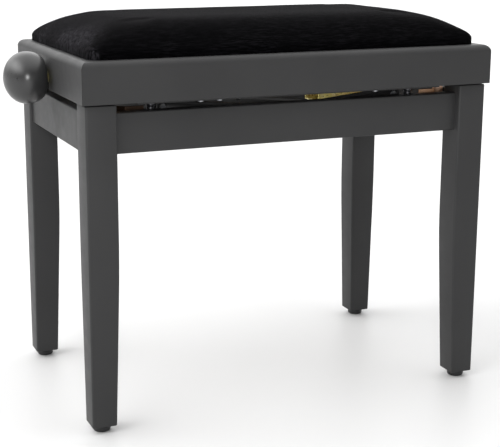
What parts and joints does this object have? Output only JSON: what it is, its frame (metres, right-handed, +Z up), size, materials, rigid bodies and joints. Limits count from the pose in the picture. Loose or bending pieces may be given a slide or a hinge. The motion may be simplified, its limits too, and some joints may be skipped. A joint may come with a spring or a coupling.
{
  "type": "piano bench",
  "caption": "Height-adjustable piano bench: tapered wooden legs, mitred seat frame with a crowned velvet cushion, and a scissor lift turned by a side knob.",
  "frame": {"origin": "on the floor, under the middle of the whole length, knob included; the legs' middle is 26.05 mm towards +X from it", "axes": "+X along the seat, away from the knob; +Y to the back; +Z up"},
  "size_m": [0.568, 0.31, 0.4697],
  "materials": {
    "lacquered_wood": "satin anthracite lacquer",
    "knob_lacquer": "satin anthracite lacquer",
    "velvet": "black velvet",
    "plywood": "raw plywood",
    "black_steel": "black painted sheet steel",
    "zinc": "bright zinc plating",
    "yellow_zinc": "yellow chromated zinc",
    "copper_zinc": "copper-coloured chromated zinc",
    "glide_plastic": "black moulded plastic"
  },
  "bodies": {
    "base": {"leg_front_left": "lacquered_wood", "leg_front_right": "lacquered_wood", "leg_rear_right": "lacquered_wood", "leg_rear_left": "lacquered_wood", "glide_front_left": "glide_plastic", "glide_front_right": "glide_plastic", "glide_rear_right": "glide_plastic", "glide_rear_left": "glide_plastic", "apron_front": "lacquered_wood", "apron_rear": "lacquered_wood", "apron_left": "lacquered_wood", "apron_right": "lacquered_wood", "corner_bracket_front_left": "copper_zinc", "corner_bracket_front_right": "copper_zinc", "corner_bracket_rear_right": "copper_zinc", "corner_bracket_rear_left": "copper_zinc", "hanger_bolt_front_left": "zinc", "hanger_bolt_front_right": "zinc", "hanger_bolt_rear_right": "zinc", "hanger_bolt_rear_left": "zinc", "wing_nut_front_left": "zinc", "wing_nut_front_right": "zinc", "wing_nut_rear_right": "zinc", "wing_nut_rear_left": "zinc", "lower_rail_front": "black_steel", "lower_rail_rear": "black_steel", "lower_tie_left": "black_steel", "lower_tie_right": "black_steel", "lift_stop_front_left": "zinc", "lift_stop_front_right": "zinc", "lift_stop_rear_left": "zinc", "lift_stop_rear_right": "zinc", "lower_pivot_rod": "zinc"},
    "seat": {"seat_rail_front": "lacquered_wood", "seat_rail_right": "lacquered_wood", "seat_rail_rear": "lacquered_wood", "seat_rail_left": "lacquered_wood", "seat_board": "plywood", "cushion": "velvet", "upper_rail_front": "black_steel", "upper_rail_rear": "black_steel", "bearing_bracket_left": "black_steel", "bearing_bracket_right": "black_steel", "upper_pivot_rod": "zinc"},
    "spindle": {"spindle": "zinc", "knob": "knob_lacquer", "knob_washer": "yellow_zinc", "collar_inner": "zinc", "collar_outer": "zinc"},
    "standing_arms": {"standing_arm_front": "black_steel", "standing_arm_rear": "black_steel", "middle_pin_front": "zinc", "middle_pin_rear": "zinc", "upper_slide_rod": "zinc"},
    "hanging_arms": {"hanging_arm_front": "black_steel", "hanging_arm_rear": "black_steel", "lower_slide_rod": "zinc"},
    "carriage": {"nut_carriage": "yellow_zinc", "spindle_nut": "zinc"}
  },
  "joints": [
    {"name": "seat_lift", "type": "slide", "parent": "base", "child": "seat", "axis": [0, 0, 1], "range_m": [0, 0.09]},
    {"name": "knob_turn", "type": "hinge", "parent": "seat", "child": "spindle", "pos_m": [-0.23195, 0, 0.3965], "axis": [1, 0, 0], "range_deg": [0, 2880]},
    {"name": "standing_arm_swing", "type": "hinge", "parent": "base", "child": "standing_arms", "pos_m": [-0.12395, 0, 0.338], "axis": [0, -1, 0], "range_deg": [0, 17.86]},
    {"name": "hanging_arm_swing", "type": "hinge", "parent": "seat", "child": "hanging_arms", "pos_m": [-0.12395, 0, 0.369], "axis": [0, 1, 0], "range_deg": [0, 17.86]},
    {"name": "carriage_tilt", "type": "hinge", "parent": "standing_arms", "child": "carriage", "pos_m": [0.17444, 0, 0.369], "axis": [0, 1, 0], "range_deg": [0, 17.86]}
  ],
  "couplings": [
    {"joint": "knob_turn", "follows": "seat_lift", "rad_per_m": 558.5},
    {"joint": "standing_arm_swing", "follows": "seat_lift", "rad_per_m": 3.4627},
    {"joint": "hanging_arm_swing", "follows": "seat_lift", "rad_per_m": 3.4627},
    {"joint": "carriage_tilt", "follows": "seat_lift", "rad_per_m": 3.4627}
  ]
}
